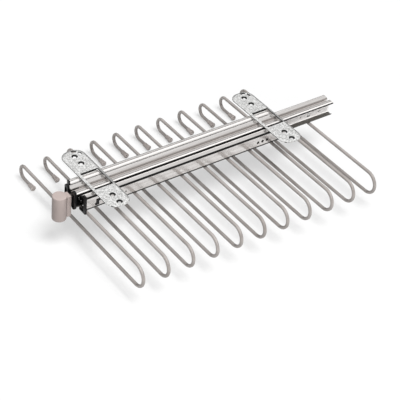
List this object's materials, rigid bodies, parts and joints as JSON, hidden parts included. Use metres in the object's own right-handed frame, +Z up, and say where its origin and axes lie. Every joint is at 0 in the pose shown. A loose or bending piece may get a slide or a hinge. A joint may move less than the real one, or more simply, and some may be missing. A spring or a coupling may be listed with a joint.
{
  "type": "pull-out trouser rack",
  "caption": "Ceiling-mounted pull-out rack: bent wire trouser hangers with capped hooks, carried by paired ball-bearing slides under two stamped brackets, with a round handle in front.",
  "frame": {"origin": "on the ceiling plane, which is the top face of both brackets, midway between the brackets and on the centreline of the slides", "axes": "+Z up to the ceiling, -Y the way the rack pulls out (handle in front), +X towards the closed loops of the wires"},
  "size_m": [0.3233, 0.4806, 0.091],
  "materials": {
    "zinc_plate": "zinc-plated stamped sheet, satin with a fine mottled grain",
    "zinc_slide": "zinc-plated rolled sheet, bright, with lengthwise streaks",
    "dark_steel": "zinc-plated rolled sheet, slightly duller from race grease",
    "cage_steel": "plain steel strip with polished balls",
    "black_plastic": "black moulded plastic, satin",
    "moka_paint": "moka powder coat, semi-matt",
    "moka_plastic": "moka moulded plastic, satin",
    "moka_cap": "soft moka plastic, matt, a little lighter than the wires"
  },
  "bodies": {
    "frame": {"bracket_front": "zinc_plate", "bracket_rear": "zinc_plate", "fixed_slide_cap_near": "black_plastic", "fixed_slide_bumper_far": "black_plastic", "fixed_slide_near": "zinc_slide", "fixed_slide_far": "zinc_slide", "slide_catch_near": "black_plastic", "slide_catch_far": "black_plastic"},
    "carriage": {"carrier_slide_near": "zinc_slide", "carrier_slide_far": "zinc_slide", "carrier_slide_cap_near": "black_plastic", "carrier_slide_cap_far": "black_plastic", "carrier_spine": "moka_paint", "spine_rivet_front": "zinc_plate", "spine_rivet_rear": "zinc_plate", "handle_neck": "moka_plastic", "handle": "moka_plastic", "hanger_wire_01": "moka_paint", "hanger_cap_01": "moka_cap", "hanger_wire_02": "moka_paint", "hanger_cap_02": "moka_cap", "hanger_wire_03": "moka_paint", "hanger_cap_03": "moka_cap", "hanger_wire_04": "moka_paint", "hanger_cap_04": "moka_cap", "hanger_wire_05": "moka_paint", "hanger_cap_05": "moka_cap", "hanger_wire_06": "moka_paint", "hanger_cap_06": "moka_cap", "hanger_wire_07": "moka_paint", "hanger_cap_07": "moka_cap", "hanger_wire_08": "moka_paint", "hanger_cap_08": "moka_cap", "hanger_wire_09": "moka_paint", "hanger_cap_09": "moka_cap", "hanger_wire_10": "moka_paint", "hanger_cap_10": "moka_cap", "hanger_wire_11": "moka_paint", "hanger_cap_11": "moka_cap"},
    "middle_slide_near": {"middle_slide_near": "dark_steel", "middle_slide_bumper_near": "black_plastic"},
    "outer_ball_cage_near": {"outer_ball_cage_near": "cage_steel"},
    "inner_ball_cage_near": {"inner_ball_cage_near": "cage_steel"},
    "middle_slide_far": {"middle_slide_far": "dark_steel", "middle_slide_bumper_far": "black_plastic"},
    "outer_ball_cage_far": {"outer_ball_cage_far": "cage_steel"},
    "inner_ball_cage_far": {"inner_ball_cage_far": "cage_steel"}
  },
  "joints": [
    {"name": "carriage_slide", "type": "slide", "parent": "frame", "child": "carriage", "axis": [0, -1, 0], "range_m": [0, 0.34]},
    {"name": "middle_slide_near_travel", "type": "slide", "parent": "frame", "child": "middle_slide_near", "axis": [0, -1, 0], "range_m": [0, 0.17]},
    {"name": "outer_ball_cage_near_travel", "type": "slide", "parent": "frame", "child": "outer_ball_cage_near", "axis": [0, -1, 0], "range_m": [0, 0.085]},
    {"name": "inner_ball_cage_near_travel", "type": "slide", "parent": "frame", "child": "inner_ball_cage_near", "axis": [0, -1, 0], "range_m": [0, 0.255]},
    {"name": "middle_slide_far_travel", "type": "slide", "parent": "frame", "child": "middle_slide_far", "axis": [0, -1, 0], "range_m": [0, 0.17]},
    {"name": "outer_ball_cage_far_travel", "type": "slide", "parent": "frame", "child": "outer_ball_cage_far", "axis": [0, -1, 0], "range_m": [0, 0.085]},
    {"name": "inner_ball_cage_far_travel", "type": "slide", "parent": "frame", "child": "inner_ball_cage_far", "axis": [0, -1, 0], "range_m": [0, 0.255]}
  ],
  "couplings": [
    {"joint": "middle_slide_near_travel", "follows": "carriage_slide", "ratio": 0.5},
    {"joint": "outer_ball_cage_near_travel", "follows": "carriage_slide", "ratio": 0.25},
    {"joint": "inner_ball_cage_near_travel", "follows": "carriage_slide", "ratio": 0.75},
    {"joint": "middle_slide_far_travel", "follows": "carriage_slide", "ratio": 0.5},
    {"joint": "outer_ball_cage_far_travel", "follows": "carriage_slide", "ratio": 0.25},
    {"joint": "inner_ball_cage_far_travel", "follows": "carriage_slide", "ratio": 0.75}
  ]
}
